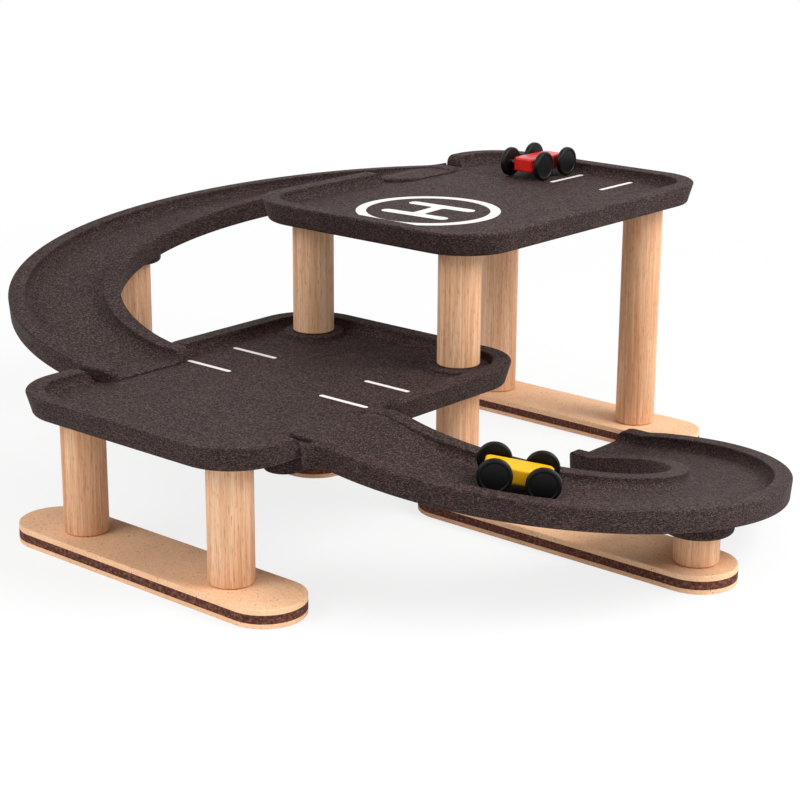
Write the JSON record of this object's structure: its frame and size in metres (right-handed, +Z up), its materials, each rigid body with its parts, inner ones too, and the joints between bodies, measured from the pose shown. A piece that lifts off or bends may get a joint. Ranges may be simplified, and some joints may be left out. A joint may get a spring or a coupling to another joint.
{
  "type": "toy parking garage",
  "caption": "Toy parking garage with an upper and a lower deck on wooden columns and foot boards, two curved ramps and small toy cars.",
  "frame": {"origin": "on the ground at the plan centre, half way between the two decks", "axes": "+X along the front foot board to the lower ramp's side, +Y from the lower deck to the upper deck, +Z up"},
  "size_m": [0.7162, 0.604, 0.257],
  "materials": {
    "deck_composite": "pressed wood-dust composite, dark charcoal brown, matte, fine light specks",
    "column_wood": "pale hardwood with long grain, satin, unstained",
    "board_ply": "pale fine-fibre board, matte, small specks",
    "board_core": "dark brown fibre board core, coarse sawn edge",
    "red_paint": "gloss red paint on wood",
    "yellow_paint": "gloss yellow paint on wood",
    "wheel_black": "gloss black paint on wood",
    "steel": "plain steel, satin"
  },
  "bodies": {
    "garage": {"foot_board_front_bottom_ply": "board_ply", "foot_board_front_core": "board_core", "foot_board_front_top_ply": "board_ply", "foot_board_right_bottom_ply": "board_ply", "foot_board_right_core": "board_core", "foot_board_right_top_ply": "board_ply", "foot_board_back_bottom_ply": "board_ply", "foot_board_back_core": "board_core", "foot_board_back_top_ply": "board_ply", "foot_board_left_bottom_ply": "board_ply", "foot_board_left_core": "board_core", "foot_board_left_top_ply": "board_ply", "column_front_left": "column_wood", "column_middle_left_lower": "column_wood", "column_middle_left_upper": "column_wood", "column_back_left": "column_wood", "column_ramp_left": "column_wood", "column_front_right": "column_wood", "column_middle_right_lower": "column_wood", "column_middle_right_upper": "column_wood", "column_back_right": "column_wood", "column_ramp_right": "column_wood", "dowel_front_left": "column_wood", "dowel_middle_left_lower": "column_wood", "dowel_middle_left_upper": "column_wood", "dowel_back_left": "column_wood", "dowel_ramp_left": "column_wood", "dowel_front_right": "column_wood", "dowel_middle_right_lower": "column_wood", "dowel_middle_right_upper": "column_wood", "dowel_back_right": "column_wood", "dowel_ramp_right": "column_wood", "screw_front_left": "steel", "screw_front_right": "steel", "screw_middle_left": "steel", "screw_middle_right": "steel", "screw_back_left": "steel", "screw_back_right": "steel", "screw_ramp_left": "steel", "screw_ramp_right": "steel", "lower_deck": "deck_composite", "upper_deck": "deck_composite", "lower_ramp": "deck_composite", "upper_ramp": "deck_composite"},
    "red_car": {"red_car_body": "red_paint"},
    "red_front_wheelset": {"red_car_front_axle": "steel", "red_car_front_left_wheel": "wheel_black", "red_car_front_right_wheel": "wheel_black"},
    "red_rear_wheelset": {"red_car_rear_axle": "steel", "red_car_rear_left_wheel": "wheel_black", "red_car_rear_right_wheel": "wheel_black"},
    "yellow_car": {"yellow_car_body": "yellow_paint"},
    "yellow_front_wheelset": {"yellow_car_front_axle": "steel", "yellow_car_front_left_wheel": "wheel_black", "yellow_car_front_right_wheel": "wheel_black"},
    "yellow_rear_wheelset": {"yellow_car_rear_axle": "steel", "yellow_car_rear_left_wheel": "wheel_black", "yellow_car_rear_right_wheel": "wheel_black"}
  },
  "joints": [
    {"name": "red_car_roll", "type": "slide", "parent": "garage", "child": "red_car", "axis": [0, 1, 0], "range_m": [-0.24, 0.004]},
    {"name": "red_front_wheels_spin", "type": "hinge", "parent": "red_car", "child": "red_front_wheelset", "pos_m": [-0.03, 0.2675, 0.244], "axis": [1, 0, 0], "continuous": true},
    {"name": "red_rear_wheels_spin", "type": "hinge", "parent": "red_car", "child": "red_rear_wheelset", "pos_m": [-0.03, 0.2325, 0.244], "axis": [1, 0, 0], "continuous": true},
    {"name": "yellow_car_roll", "type": "hinge", "parent": "garage", "child": "yellow_car", "pos_m": [0.1365, 0, 0.09235], "axis": [0.1376, 0.1075, 0.9846], "range_deg": [-5, 6]},
    {"name": "yellow_front_wheels_spin", "type": "hinge", "parent": "yellow_car", "child": "yellow_front_wheelset", "pos_m": [0.25912, -0.12501, 0.1021], "axis": [0.6157, -0.788, 0], "continuous": true},
    {"name": "yellow_rear_wheels_spin", "type": "hinge", "parent": "yellow_car", "child": "yellow_rear_wheelset", "pos_m": [0.23196, -0.14623, 0.10821], "axis": [0.6157, -0.788, 0], "continuous": true}
  ],
  "couplings": [
    {"joint": "red_front_wheels_spin", "follows": "red_car_roll", "rad_per_m": -76.923},
    {"joint": "red_rear_wheels_spin", "follows": "red_car_roll", "rad_per_m": -76.923},
    {"joint": "yellow_front_wheels_spin", "follows": "yellow_car_roll", "ratio": -13.385},
    {"joint": "yellow_rear_wheels_spin", "follows": "yellow_car_roll", "ratio": -13.385}
  ]
}
